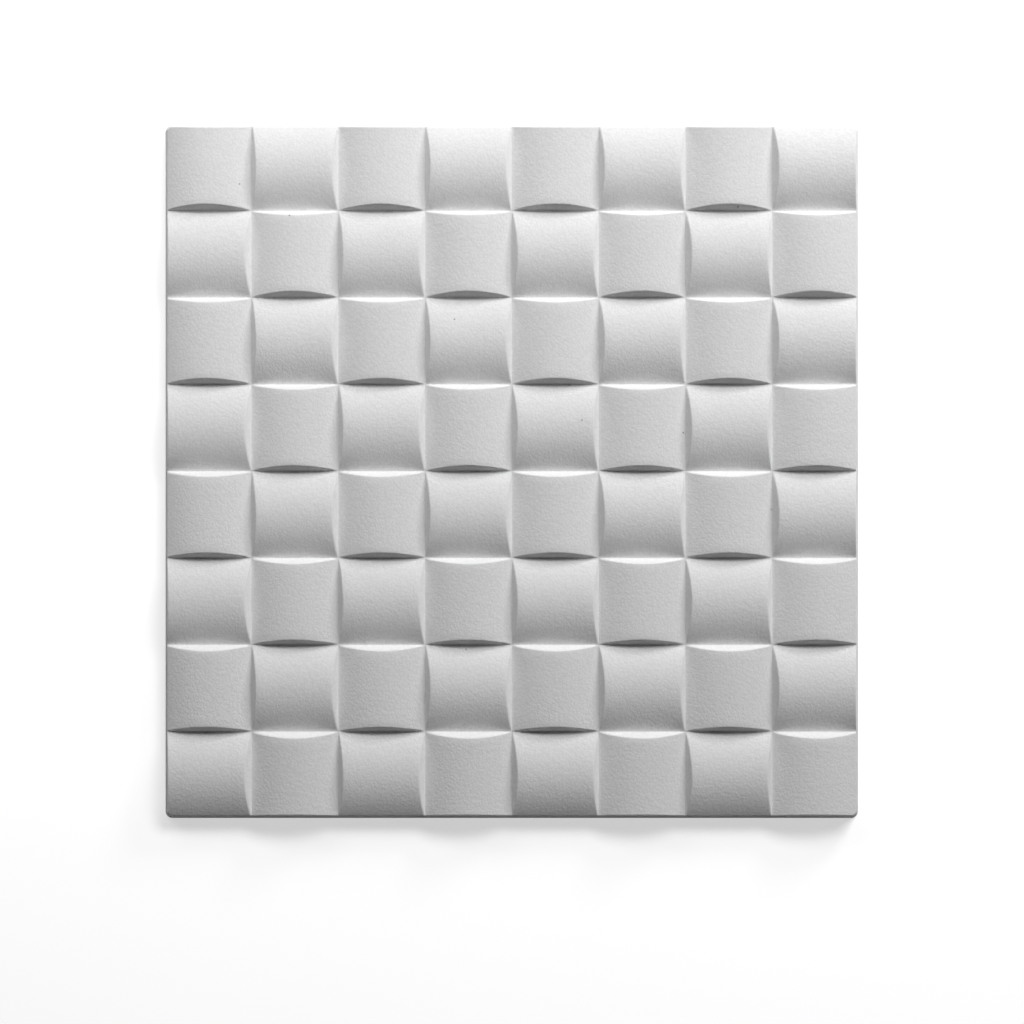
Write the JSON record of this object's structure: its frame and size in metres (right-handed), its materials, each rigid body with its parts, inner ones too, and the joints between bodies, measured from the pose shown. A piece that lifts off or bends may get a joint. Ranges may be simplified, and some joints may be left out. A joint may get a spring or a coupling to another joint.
{
  "type": "wall panel tile",
  "caption": "Square foam wall panel tile moulded in one piece, its face a basket weave of arched square cells, with a flat back for gluing to a wall.",
  "frame": {"origin": "centre of the flat back", "axes": "+Z out of the back's plane towards the face, +Y up on the wall, +X to the right as seen from the front"},
  "size_m": [0.5, 0.5, 0.02],
  "materials": {
    "foam": "matt white fine-bead expanded polystyrene"
  },
  "bodies": {
    "root": {"panel": "foam"}
  },
  "joints": []
}
